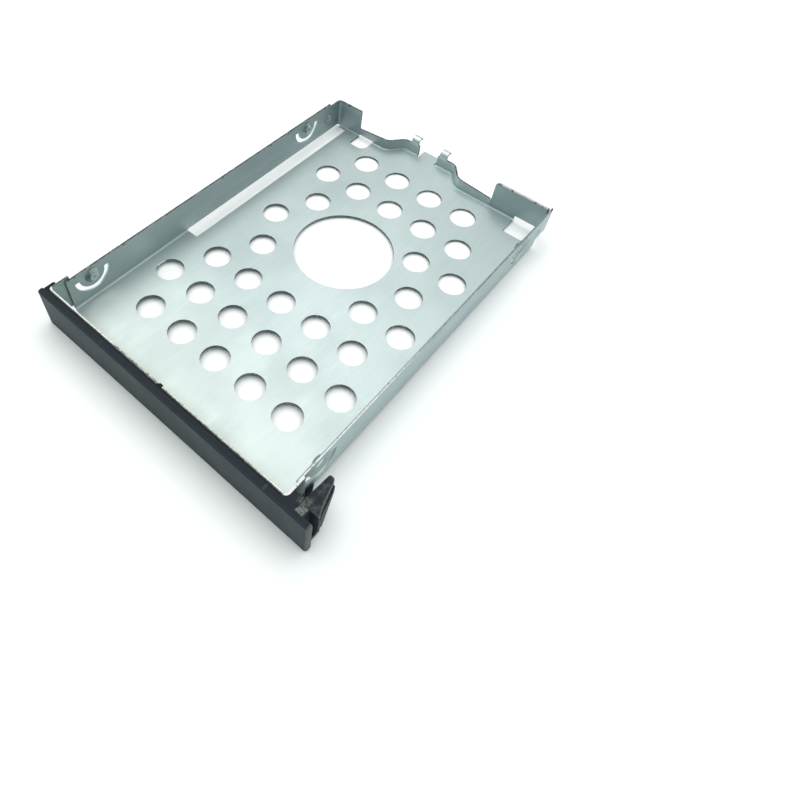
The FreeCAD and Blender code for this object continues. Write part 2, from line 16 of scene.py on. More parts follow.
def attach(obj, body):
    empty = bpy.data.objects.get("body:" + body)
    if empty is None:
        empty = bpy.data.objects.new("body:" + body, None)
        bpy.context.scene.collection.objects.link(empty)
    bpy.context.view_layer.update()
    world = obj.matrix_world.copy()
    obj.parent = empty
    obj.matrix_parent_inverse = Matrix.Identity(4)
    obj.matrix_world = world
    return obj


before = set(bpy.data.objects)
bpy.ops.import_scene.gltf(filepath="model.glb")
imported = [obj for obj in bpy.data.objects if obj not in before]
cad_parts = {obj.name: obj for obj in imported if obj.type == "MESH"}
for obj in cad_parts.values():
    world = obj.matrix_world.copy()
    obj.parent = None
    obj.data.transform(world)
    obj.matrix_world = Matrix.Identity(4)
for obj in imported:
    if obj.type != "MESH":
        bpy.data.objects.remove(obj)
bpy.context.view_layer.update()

MM = 0.001

# Where the photograph was taken from
LENS_PLACE = (63.693, -88.430, 125.824)
LENS_RIGHT = (0.74844191, 0.66281400, 0.02263442)
LENS_DOWN = (0.52698052, -0.57364639, -0.62707365)
LENS_AHEAD = (-0.40264903, 0.48125610, -0.77863106)
LENS_LENGTH = 29.4627
SENSOR_WIDTH = 36.0
LENS_SHIFT = 0.12625
NEAREST_SEEN = 1.0

# The caddy rests on the bezel's lower edge and on the end of the tongue, so the table leans a little
BEZEL_REST = (-55.4, 0.0)
TONGUE_REST = (55.775, 1.6)
TABLE_SIZE = 4000.0

# The studio: a dim room and three soft lights, each with its place, side and power
ROOM_COLOUR = (0.88, 0.98, 1.0)
ROOM_STRENGTH = 0.38
WHITE = (1.0, 1.0, 1.0)
WARM = (1.0, 0.92, 0.84)
SOFTBOX = ((-225, 75, 660), 950, 3.25)
WARM_PANEL = ((-330, -130, 720), 500, 0.45)
FILL = ((150, 230, 1050), 1200, 9.1)

# Places on the tray that the finishes and small pieces share
BAY_MIDDLE = 2.5
BAY_HALF_WIDTH = 35.0
SHEET = 0.5

# The locating dimples: place along and up the side walls, and size
DIMPLE = (42.925, 6.8)
DIMPLE_RADIUS = 1.4
DIMPLE_RISE = 0.4
DIMPLE_SUNK = 0.1
DIMPLE_SEGMENTS = 40
DIMPLE_RINGS = 72

# The spring pips: places along and up the side walls, and half a section of the cap, outwards from the wall
PIPS = ((-43.375, 8.7), (33.225, 8.7))
PIP_PROFILE = ((2.06, -0.15), (2.0, 0.05), (1.74, 0.44), (1.3, 0.82), (0.92, 0.94), (0.58, 0.92), (0.28, 0.87),
               (0.0, 0.865))
PIP_STEPS = 36
PIP_SMOOTHING = 2

# A dark gusset at the inner foot of the guide ear, put where the gap by the right wall lies in shade: its plan, and
# where it starts and ends upwards
EAR_SHADE_GUSSET = ((33.75, -51.55), (36.1, -51.55), (36.1, -50.3), (33.7, -46.3), (33.1, -45.2), (33.1, -48.0),
              (33.75, -48.7))
EAR_SHADE_GUSSET_RISE = (1.2, 3.0)
EAR_SHADE_GUSSET_BEVEL = 0.1
EAR_SHADE_GUSSET_BEVEL_STEPS = 2

# Points nearer than this are one point, in metres
MERGE_DISTANCE = 1e-7

# A colour that is laid over a finish, and its share where its mask is full
Tint = namedtuple("Tint", "colour share")


class Wiring:
    """Adds nodes to one tree and links them."""

    def __init__(self, tree):
        self.tree = tree

    def feed(self, socket, value):
        if isinstance(value, bpy.types.NodeSocket):
            self.tree.links.new(value, socket)
        else:
            socket.default_value = value

    def add(self, kind, inputs=None, **settings):
        node = self.tree.nodes.new(kind)
        for name, value in settings.items():
            setattr(node, name, value)
        for name, value in (inputs or {}).items():
            self.feed(node.inputs[name], value)
        return node

    def math(self, operation, first, second=0.0):
        return self.add("ShaderNodeMath", {0: first, 1: second}, operation=operation).outputs[0]

    def chain(self, operation, first, *others):
        for other in others:
            first = self.math(operation, first, other)
        return first

    def times(self, *values):
        return self.chain("MULTIPLY", *values)

    def plus(self, *values):
        return self.chain("ADD", *values)

    def most(self, *values):
        return self.chain("MAXIMUM", *values)

    def size_of(self, value):
        return self.math("ABSOLUTE", value)

    def fade(self, value, start, full, at_start=0.0, at_full=1.0):
        """A smooth step of a value from one level to another, which may be the lower one."""
        return self.add("ShaderNodeMapRange",
                        {"Value": value, "From Min": start, "From Max": full, "To Min": at_start, "To Max": at_full},
                        interpolation_type="SMOOTHSTEP").outputs["Result"]

    def band(self, value, low, high, soft):
        """1 between two levels, 0 outside them."""
        return self.times(self.fade(value, low - soft, low), self.fade(value, high + soft, high))

    def mix(self, share, first, second):
        node = self.add("ShaderNodeMix", data_type="RGBA")
        self.feed(node.inputs[0], share)
        for place, colour in ((6, first), (7, second)):
            self.feed(node.inputs[place], (*colour, 1.0) if isinstance(colour, tuple) else colour)
        return node.outputs[2]

    def lay(self, colour, tint, *masks):
        """A tint laid over a colour where all its masks are full."""
        return self.mix(self.times(*masks, tint.share), colour, tint.colour)

    def noise(self, where, size, detail=2.0, roughness=0.5):
        """Cloudy noise whose patches are about the given size across, in millimetres."""
        return self.add("ShaderNodeTexNoise",
                        {"Vector": where, "Scale": 1.0 / (size * MM), "Detail": detail, "Roughness": roughness}
                        ).outputs["Fac"]

    def stretched(self, where, turn, along):
        """The place turned about the upright axis and drawn out along its second axis."""
        return self.add("ShaderNodeMapping",
                        {"Vector": where, "Rotation": (0.0, 0.0, turn), "Scale": (1.0, 1.0 / along, 1.0)}
                        ).outputs["Vector"]

    def bump(self, height, strength, distance, **more):
        return self.add("ShaderNodeBump", {"Height": height, "Strength": strength, "Distance": distance, **more}
                        ).outputs["Normal"]


class Surface:
    """Where a point of a finish lies, in millimetres, and which way it faces."""

    def __init__(self, wire, place):
        self.wire = wire
        self.place = place
        in_mm = wire.add("ShaderNodeVectorMath", {0: place, "Scale": 1.0 / MM}, operation="SCALE").outputs["Vector"]
        self.x, self.y, self.z = wire.add("ShaderNodeSeparateXYZ", {"Vector": in_mm}).outputs
        normal = wire.add("ShaderNodeNewGeometry").outputs["Normal"]
        self.facing_x, self.facing_y, self.facing_z = wire.add("ShaderNodeSeparateXYZ", {"Vector": normal}).outputs

    def from_axis(self, y, z):
        """The distance from an axis that runs across the caddy."""
        along = self.wire.math("SUBTRACT", self.y, y)
        up = self.wire.math("SUBTRACT", self.z, z)
        return self.wire.math("SQRT", self.wire.plus(self.wire.times(along, along), self.wire.times(up, up)))

    def off_middle(self):
        """The distance from the middle of the drive bay."""
        return self.wire.size_of(self.wire.plus(self.x, BAY_MIDDLE))


# Edge wear: how far the rounded edge turns from the face, and how the wear breaks up
EDGE_TURN = (0.995, 0.80)
EDGE_SAMPLES = 6
WEAR_DETAIL = 4.0
WEAR_PATCHES = (0.42, 0.62)

# Hairlines: the turn and the stretch of each direction, and how thin the lines are
HAIRLINE_RUNS = ((0.35, 55.0), (-0.9, 70.0), (1.75, 60.0))
HAIRLINE_DETAIL = 3.0
HAIRLINE_LEVELS = (0.685, 0.73)

# Mottle: the detail and roughness of its two noises, and their levels
CLOUD_NOISE = (5.0, 0.6)
CLOUD_LEVELS = (0.3, 0.7)
SPECK_NOISE = (3.0, 0.65)
SPECK_LEVELS = (0.25, 0.75)


def new_group(name, inputs, outputs):
    """An empty node group with a place, named number inputs and named outputs."""
    tree = bpy.data.node_groups.new(name, "ShaderNodeTree")
    tree.interface.new_socket("Place", in_out="INPUT", socket_type="NodeSocketVector")
    for label in inputs:
        tree.interface.new_socket(label, in_out="INPUT", socket_type="NodeSocketFloat")
    for label in outputs:
        tree.interface.new_socket(label, in_out="OUTPUT", socket_type="NodeSocketFloat")
    wiring = Wiring(tree)
    return tree, wiring, wiring.add("NodeGroupInput").outputs, wiring.add("NodeGroupOutput").inputs


def make_edge_wear():
    """A mask on edges, broken up so that it comes and goes along them."""
    tree, wire, given, out = new_group("edge_wear", ["Reach", "Patch"], ["Wear"])
    rounded = wire.add("ShaderNodeBevel", {"Radius": given["Reach"]}, samples=EDGE_SAMPLES).outputs["Normal"]
    straight = wire.add("ShaderNodeNewGeometry").outputs["Normal"]
    agree = wire.add("ShaderNodeVectorMath", {0: rounded, 1: straight}, operation="DOT_PRODUCT").outputs["Value"]
    edge = wire.fade(agree, *EDGE_TURN)
    patches = wire.add("ShaderNodeTexNoise",
                       {"Vector": given["Place"], "Scale": given["Patch"], "Detail": WEAR_DETAIL}).outputs["Fac"]
    wire.feed(out["Wear"], wire.times(edge, wire.fade(patches, *WEAR_PATCHES)))
    return tree


def make_hairlines():
    """Fine scratches in three directions."""
    tree, wire, given, out = new_group("hairlines", ["Spread"], ["Scratch"])
    lines = []
    for turn, along in HAIRLINE_RUNS:
        drawn = wire.stretched(given["Place"], turn, along)
        streaks = wire.add("ShaderNodeTexNoise",
                           {"Vector": drawn, "Scale": given["Spread"], "Detail": HAIRLINE_DETAIL}).outputs["Fac"]
        lines.append(wire.fade(streaks, *HAIRLINE_LEVELS))
    wire.feed(out["Scratch"], wire.most(*lines))
    return tree


def make_mottle():
    """Slow and fast unevenness of a finish."""
    tree, wire, given, out = new_group("mottle", ["Slow", "Fast"], ["Cloud", "Speck"])
    for label, pace, (detail, roughness), levels in (("Cloud", "Slow", CLOUD_NOISE, CLOUD_LEVELS),
                                                     ("Speck", "Fast", SPECK_NOISE, SPECK_LEVELS)):
        noise = wire.add("ShaderNodeTexNoise", {"Vector": given["Place"], "Scale": given[pace], "Detail": detail,
                                                "Roughness": roughness}).outputs["Fac"]
        wire.feed(out[label], wire.fade(noise, *levels))
    return tree


EDGE_WEAR = make_edge_wear()
HAIRLINES = make_hairlines()
MOTTLE = make_mottle()


def use(wire, tree, **inputs):
    """Places a node group and returns its outputs."""
    node = wire.add("ShaderNodeGroup", node_tree=tree)
    for name, value in inputs.items():
        wire.feed(node.inputs[name.capitalize()], value)
    return node.outputs


def new_material(name, look):
    """An empty material with a Principled shader wired to its output."""
    material = bpy.data.materials.new(name)
    material.use_nodes = True
    material.diffuse_color = (*look, 1.0)
    material.node_tree.nodes.clear()
    wire = Wiring(material.node_tree)
    shader = wire.add("ShaderNodeBsdfPrincipled")
    wire.add("ShaderNodeOutputMaterial", {"Surface": shader.outputs["BSDF"]})
    place = wire.add("ShaderNodeTexCoord").outputs["Object"]
    return material, wire, shader.inputs, place


# How the numbers of the finishes are read: ACROSS is from left to right, ALONG from front to back and UP from the
# table. A pair is where a tint starts and where it is full, and a third number makes it a band between the two with
# that softness. A noise is its size, detail and roughness, and a pair of LEVELS cuts it to patches.

# The zinc as it is all over the sheet
ZINC_LOOK = (0.66, 0.73, 0.72)
ZINC_CLOUDS = ((0.640, 0.739, 0.731), (0.662, 0.759, 0.751))
ZINC_MOTTLE = {"slow": 60.0, "fast": 2400.0}
ZINC_WEAR = {"reach": 0.2 * MM, "patch": 260.0}
ZINC_HAIRLINES = 900.0
ROLLED_STRETCH = 22.0
ROLLED_NOISE = (0.4, 3.0, 0.6)
FINE_NOISE = (0.3, 3.0, 0.6)
ROLLED_SHARE = 0.6
FINE_SHARE = 0.4
GRAIN_LEVELS = (0.38, 0.66)
GRAIN = Tint((0.50, 0.585, 0.58), 0.17)
SPECKS = Tint((0.80, 0.87, 0.865), 0.34)
SCRATCHES = Tint((0.84, 0.89, 0.885), 0.18)
RUBBED_EDGES = Tint((0.88, 0.92, 0.91), 0.3)

# How a face has to point for a tint
FACING_UP = (0.9, 0.98)
FACING_DOWN = (-0.6, -0.9)
FACING_RIGHT = (0.6, 0.9)
FACING_FRONT = (-0.1, -0.4)
FACING_INWARDS = (0.2, 0.5)
STANDING = (0.95, 0.4)

# Yellowing towards the front fold
YELLOWED = Tint((0.690, 0.744, 0.708), 0.5)
YELLOWED_ALONG = (-24.0, -46.0)
YELLOWED_FOLD = Tint((0.590, 0.640, 0.580), 0.7)
YELLOWED_FOLD_ALONG = (-47.5, -51.0)

# The duller underside, and painted shade on the left of the floor
DULL_UNDERSIDE_AND_SHADED_FLOOR = Tint((0.27, 0.33, 0.34), 1.0)
UNDERSIDE_SHARE = 0.85
FLOOR_LEFT_SHADE_SHARE = 0.2
FLOOR_LEFT_SHADE_ACROSS = (2.0, -24.0)
FLOOR_LEFT_SHADE_ALONG = (-34.0, -12.0)

# Painted shade on the walls and folds. A share below zero takes some of the painted shade away.
SHADED_WALLS = Tint((0.30, 0.385, 0.405), 1.0)
WALL_FOOT = (6.5, 3.5)
LEFT_WALL = (-37.2, -37.3)
LEFT_WALL_ALONG = (-30.0, 10.0)
LEFT_WALL_SHARES = (0.18, 0.44)
OVER_SLOT_ALONG = (-16.0, -8.0)
OVER_SLOT_SHARE = 0.32
BACK_FOLDS = (47.4, 47.7)
LEFT_FOLD_END = (-17.0, -21.0)
LEFT_FOLD_SHARES = (0.34, 0.76)
RIGHT_FOLD_END = (16.2, 16.4)
RIGHT_FOLD_SHARES = (0.34, 0.70)
RIGHT_FLANGE_FOOT = (20.0, 26.0)
RIGHT_FLANGE_FOOT_SHARE = 0.2
LEFT_FLANGE = (-27.0, -28.0)
LEFT_FLANGE_TOP = (8.2, 9.6)
LEFT_FLANGE_TOP_SHARE = -0.3
RIGHT_WALL = (32.7, 32.8)
RIGHT_WALL_SHARE = 0.62
BACK_CORNER_ACROSS = (-36.7, -37.0)
BACK_CORNER_ALONG = (47.5, 47.8)
BACK_CORNER_SHARE = 0.8

# Painted highlight on the hook fingers and painted shade on the bend under the back lip
HOOK_HIGHLIGHT = Tint((0.78, 0.85, 0.845), 0.9)
HOOKS_ACROSS = (-14.0, 6.0, 0.2)
HOOKS_ALONG = (47.0, 47.5)
HOOKS_UP = (4.4, 5.3)
BACK_BEND_SHADE = Tint((0.33, 0.41, 0.42), 0.55)
BACK_BEND_LEAN = (-0.04, -0.2)
BACK_BEND_RISE = (0.3, 0.6)
BACK_BEND_ALONG = (46.8, 47.2)
BACK_BEND_UP = (3.6, 3.4)

# Painted shade on the front and a painted highlight on the back of the polished pips, by distance from their axes, a
# darker middle of each pip, and the painted highlight spot in the left dimple
INSIDE_BAY = (BAY_HALF_WIDTH, BAY_HALF_WIDTH - 0.1)
PIP_REACH = (2.1, 1.8)
PIP_FRONT_SHADE = Tint((0.15, 0.19, 0.20), 0.75)
PIP_FRONT_LEAN = (-0.05, -0.45)
PIP_BACK_HIGHLIGHT = Tint((0.93, 0.97, 0.96), 0.75)
PIP_BACK_LEAN = (-0.05, 0.3)
PIP_NOSE = Tint((0.12, 0.15, 0.16), 0.5)
PIP_NOSE_REACH = (0.6, 0.25)
DENT_GLINT = Tint((0.93, 0.97, 0.96), 0.7)
DENT_GLINT_OFF = (0.3, 0.4)
DENT_GLINT_REACH = (0.75, 0.2)
DENT_GLINT_FACE = (-37.6, -37.4, 0.02)

# Painted shade on the sprung part of the right wall, and painted shade on the wall's foot in the corner by the ear
SPRUNG_SHADE = Tint((0.24, 0.30, 0.31), 0.8)
SPRUNG_REACH = (3.4, 2.8)
EAR_CORNER_SHADE = Tint((0.05, 0.06, 0.065), 1.4)
EAR_CORNER_SHADE_ALONG = (-43.5, -46.5)
EAR_CORNER_SHADE_UP = (6.5, 4.0)


def tint_floor(surface, colour, level):
    """Yellows the front of the floor, dulls the underside and paints shade on the left of the floor."""
    wire = surface.wire
    colour = wire.lay(colour, YELLOWED, level, wire.fade(surface.y, *YELLOWED_ALONG))
    colour = wire.lay(colour, YELLOWED_FOLD, level, wire.fade(surface.y, *YELLOWED_FOLD_ALONG))
    underneath = wire.times(wire.fade(surface.facing_z, *FACING_DOWN), UNDERSIDE_SHARE)
    # painted shade on the left of the floor
    floor_left_shade = wire.times(level, wire.fade(surface.x, *FLOOR_LEFT_SHADE_ACROSS), wire.fade(surface.y, *FLOOR_LEFT_SHADE_ALONG),
                            FLOOR_LEFT_SHADE_SHARE)
    return wire.lay(colour, DULL_UNDERSIDE_AND_SHADED_FLOOR, wire.most(underneath, floor_left_shade))


def shade_walls(surface, colour, outside_right):
    """Paints shade on the inside of the left wall, the folds at the back, the back corner and the outside of the
    right wall.
    """
    wire = surface.wire
    standing = wire.fade(wire.size_of(surface.facing_z), *STANDING)
    foot = wire.fade(surface.z, *WALL_FOOT)

    over_slot = wire.times(foot, wire.fade(surface.y, *OVER_SLOT_ALONG), OVER_SLOT_SHARE)
    inside_left = wire.times(wire.fade(surface.facing_x, *FACING_RIGHT), wire.fade(surface.x, *LEFT_WALL),
                             wire.plus(wire.fade(surface.y, *LEFT_WALL_ALONG, *LEFT_WALL_SHARES), over_slot))

    fold_ends = wire.most(wire.fade(surface.x, *LEFT_FOLD_END, *LEFT_FOLD_SHARES),
                          wire.fade(surface.x, *RIGHT_FOLD_END, *RIGHT_FOLD_SHARES))
    flange_foot = wire.times(foot, wire.fade(surface.x, *RIGHT_FLANGE_FOOT), RIGHT_FLANGE_FOOT_SHARE)
    flange_top = wire.times(wire.fade(surface.x, *LEFT_FLANGE), wire.fade(surface.z, *LEFT_FLANGE_TOP),
                            LEFT_FLANGE_TOP_SHARE)
    inside_back = wire.times(standing, wire.fade(surface.facing_y, *FACING_FRONT),
                             wire.fade(surface.y, *BACK_FOLDS), wire.plus(fold_ends, flange_foot, flange_top))

    inwards = wire.fade(wire.math("SUBTRACT", surface.facing_x, surface.facing_y), *FACING_INWARDS)
    # painted shade in the back left corner
    corner = wire.times(standing, inwards, wire.fade(surface.x, *BACK_CORNER_ACROSS),
                        wire.fade(surface.y, *BACK_CORNER_ALONG), BACK_CORNER_SHARE)
    return wire.lay(colour, SHADED_WALLS, wire.most(inside_left, inside_back, outside_right, corner))


def back_edge(surface, colour):
    """Paints a highlight on the hook fingers and paints shade on the bend under the back lip."""
    wire = surface.wire
    colour = wire.lay(colour, HOOK_HIGHLIGHT, wire.band(surface.x, *HOOKS_ACROSS), wire.fade(surface.y, *HOOKS_ALONG),
                      wire.fade(surface.z, *HOOKS_UP))
    return wire.lay(colour, BACK_BEND_SHADE, wire.fade(surface.facing_y, *BACK_BEND_LEAN),
                    wire.fade(surface.facing_z, *BACK_BEND_RISE), wire.fade(surface.y, *BACK_BEND_ALONG),
                    wire.fade(surface.z, *BACK_BEND_UP))


def pip_light_and_polish(surface, colour, near_pip):
    """Paints shade and highlight on the pips by the way they face, darkens their middles, and paints a highlight spot
    in the left dimple.
    """
    wire = surface.wire
    inside_bay = wire.fade(surface.off_middle(), *INSIDE_BAY)
    polished = wire.times(wire.fade(near_pip, *PIP_REACH), inside_bay)
    colour = wire.lay(colour, PIP_FRONT_SHADE, polished, wire.fade(surface.facing_y, *PIP_FRONT_LEAN))
    colour = wire.lay(colour, PIP_BACK_HIGHLIGHT, polished, wire.fade(surface.facing_y, *PIP_BACK_LEAN))
    # darkens the middle of each pip
    colour = wire.lay(colour, PIP_NOSE, inside_bay, wire.fade(near_pip, *PIP_NOSE_REACH))
    glint = surface.from_axis(DIMPLE[0] - DENT_GLINT_OFF[0], DIMPLE[1] - DENT_GLINT_OFF[1])
    colour = wire.lay(colour, DENT_GLINT, wire.fade(glint, *DENT_GLINT_REACH),
                      wire.band(surface.x, *DENT_GLINT_FACE))
    return colour, polished


def right_wall_shade(surface, colour, outside_right, near_pip):
    """Paints shade on the sprung part of the right wall, which leans in, and on the wall's foot in the corner by the
    ear.
    """
    wire = surface.wire
    colour = wire.lay(colour, SPRUNG_SHADE, outside_right, wire.fade(near_pip, *SPRUNG_REACH))
    return wire.lay(colour, EAR_CORNER_SHADE, outside_right, wire.fade(surface.y, *EAR_CORNER_SHADE_ALONG),
                    wire.fade(surface.z, *EAR_CORNER_SHADE_UP))


# The cut faces of the sheet: how they face, and where each kind of them lies
CUT_UPRIGHT = (0.3, 0.15)
CUT_UPWARDS = (0.75, 0.9)
CUT_SQUARE = (0.85, 0.95)
HOLE_WALL_UP = (2.2, 2.12)
HOLE_WALL_ACROSS = (-33.7, -33.6)
HIGH_TOP = (9.4, 9.6)
LIP_TOP = (4.0, 5.3, 0.05)
LIP_TOP_ALONG = (47.0, 47.2)
BACK_END_ALONG = (48.2, 48.3)
BACK_END_ACROSS = (32.4, 32.3)
FRONT_END_ALONG = (-50.1, -48.5, 0.05)

# Torn dark metal on the cut faces, and where they are rubbed bright instead
TORN_NOISE = (0.55, 4.0, 0.7)
DARK_CUT = ((0.045, 0.055, 0.057), (0.36, 0.41, 0.41))
DARK_CUT_LEVELS = (0.45, 0.68)
BRIGHT_CUT = ((0.42, 0.43, 0.40), (0.95, 0.96, 0.94))
BRIGHT_CUT_LEVELS = (0.34, 0.46)
CUT_SHARES = (0.92, 0.5)
# the outer strip of the front flange's top, next to the bezel, stays dark as a painted shadow line
FRONT_RUB_FROM = (-53.72, -53.62)
FRONT_RUB_TO = (-52.9, -53.1)
BACK_RUB_ALONG = (48.2, 48.72, 0.06)
BACK_RUB_ACROSS = (16.0, 16.2)
BACK_RUB_LEVELS = (0.28, 0.36)
RIGHT_TOP = (32.2, 32.5)
RIGHT_RUB_ACROSS = (32.66, 32.76)
RIGHT_RUB_ALONG = (0.0, -25.0)
GRIME = Tint((0.16, 0.15, 0.13), 1.0)
GRIME_ACROSS = (-15.0, -2.0, 2.0)
GRIME_LEVELS = (0.40, 0.58)
STAINED = ((0.46, 0.47, 0.42), (0.78, 0.81, 0.74))
STAINED_LEVELS = (0.36, 0.6)
STAINED_ACROSS = (0.0, 26.5, 2.0)
STAINED_ALONG = (-52.5, -52.9)
STAINED_SHARE = 0.9

# Painted shade in the open corner behind the right wall
BACK_GAP_SHADE = Tint((0.03, 0.036, 0.037), 1.0)
BACK_GAP_FROM = (31.6, 31.7)
BACK_GAP_TO = (32.95, 32.9)
BACK_GAP_ALONG = (47.3, 47.5)
BACK_GAP_UP = (8.5, 9.0)

# Nicks and burrs along the upper edges
WALL_EDGE = (10.98, 11.5, 0.1)
FLANGE_EDGE = (10.1, 10.6, 0.1)
FLANGE_EDGE_ALONG = (43.0, 43.5)
FEWER_ACROSS = (31.0, 32.0)
FEWER_SHARES = (1.0, 0.3)
NICK_NOISE = (0.9, 4.0, 0.75)
NICKS = Tint((0.03, 0.035, 0.035), 1.0)
NICK_LEVELS = (0.58, 0.64)
BURRS = Tint((0.93, 0.95, 0.94), 1.0)
BURR_LEVELS = (0.36, 0.32)


def sheared_faces(surface):
    """A mask on the cut faces of the sheet: hole walls, upper edges and the ends of the folds."""
    wire = surface.wire
    hole_wall = wire.times(wire.fade(wire.size_of(surface.facing_z), *CUT_UPRIGHT),
                           wire.fade(surface.z, *HOLE_WALL_UP), wire.fade(surface.x, *HOLE_WALL_ACROSS))
    lip_top = wire.times(wire.band(surface.z, *LIP_TOP), wire.fade(surface.y, *LIP_TOP_ALONG))
    fold_top = wire.times(wire.fade(surface.facing_z, *CUT_UPWARDS),
                          wire.most(wire.fade(surface.z, *HIGH_TOP), lip_top))
    back_end = wire.times(wire.fade(wire.size_of(surface.facing_x), *CUT_SQUARE),
                          wire.fade(surface.y, *BACK_END_ALONG), wire.fade(surface.x, *BACK_END_ACROSS))
    front_end = wire.times(wire.fade(wire.size_of(surface.facing_y), *CUT_SQUARE),
                           wire.band(surface.y, *FRONT_END_ALONG))
    return wire.most(hole_wall, fold_top, back_end, front_end)


def cut_edges(surface, colour, sheared, torn):
    """Darkens the cut faces, except where the front, the right wall and the right back flange are rubbed bright, and
    paints shade in the open corner behind the right wall.
    """
    wire = surface.wire
    dark = wire.mix(wire.fade(torn, *DARK_CUT_LEVELS), *DARK_CUT)
    bright = wire.mix(wire.fade(torn, *BRIGHT_CUT_LEVELS), *BRIGHT_CUT)
    bright = wire.lay(bright, GRIME, wire.band(surface.x, *GRIME_ACROSS), wire.fade(torn, *GRIME_LEVELS))
    stained = wire.times(wire.band(surface.x, *STAINED_ACROSS), wire.fade(surface.y, *STAINED_ALONG), STAINED_SHARE)
    bright = wire.mix(stained, bright, wire.mix(wire.fade(torn, *STAINED_LEVELS), *STAINED))

    # the outer strip of the front flange's top is left out of the rub, as a painted shadow line
    front_rub = wire.times(wire.fade(surface.y, *FRONT_RUB_FROM), wire.fade(surface.y, *FRONT_RUB_TO))
    back_rub = wire.times(wire.band(surface.y, *BACK_RUB_ALONG), wire.fade(surface.x, *BACK_RUB_ACROSS),
                          wire.fade(torn, *BACK_RUB_LEVELS))
    right_top = wire.fade(surface.x, *RIGHT_TOP)
    right_rub = wire.times(right_top, wire.fade(surface.y, *RIGHT_RUB_ALONG), wire.fade(surface.z, *HIGH_TOP),
                           wire.fade(surface.x, *RIGHT_RUB_ACROSS))
    plain_right = wire.math("SUBTRACT", right_top, right_rub)
    share = wire.times(sheared, wire.fade(plain_right, 0.0, 1.0, *CUT_SHARES))
    colour = wire.mix(share, colour, wire.mix(wire.most(right_rub, front_rub, back_rub), dark, bright))
    return wire.lay(colour, BACK_GAP_SHADE, wire.fade(surface.x, *BACK_GAP_FROM), wire.fade(surface.x, *BACK_GAP_TO),
                    wire.fade(surface.y, *BACK_GAP_ALONG), wire.fade(surface.z, *BACK_GAP_UP))


def nicked_edges(surface, colour):
    """Hangs dark nicks and bright burrs on the upper edges of the walls and back flanges, fewer on the right wall."""
    wire = surface.wire
    flange_edge = wire.times(wire.band(surface.z, *FLANGE_EDGE), wire.fade(surface.y, *FLANGE_EDGE_ALONG))
    near_top = wire.times(wire.most(wire.band(surface.z, *WALL_EDGE), flange_edge),
                          wire.fade(surface.x, *FEWER_ACROSS, *FEWER_SHARES))
    nick = wire.noise(surface.place, *NICK_NOISE)
    colour = wire.lay(colour, NICKS, near_top, wire.fade(nick, *NICK_LEVELS))
    return wire.lay(colour, BURRS, near_top, wire.fade(nick, *BURR_LEVELS))


# Gloss and relief of the zinc
ZINC_ROUGHNESS = (0.54, 0.46)
GRAIN_ROUGH_LEVELS = (0.3, 0.7)
GRAIN_ROUGH = 0.06
SCRATCH_ROUGH = -0.10
SHEARED_ROUGH = 0.12
POLISHED_ROUGH = -0.32
GRAIN_RELIEF = 0.6
SPECK_RELIEF = 0.3
SCRATCH_RELIEF = -0.4
TORN_RELIEF = 1.2
ZINC_BUMP_STRENGTH = 0.16
ZINC_BUMP_DEPTH = 0.05
DENT_SLOPE = (DIMPLE_RADIUS, 0.5)
INNER_FACES = (BAY_HALF_WIDTH + 0.2, BAY_HALF_WIDTH + 0.1)


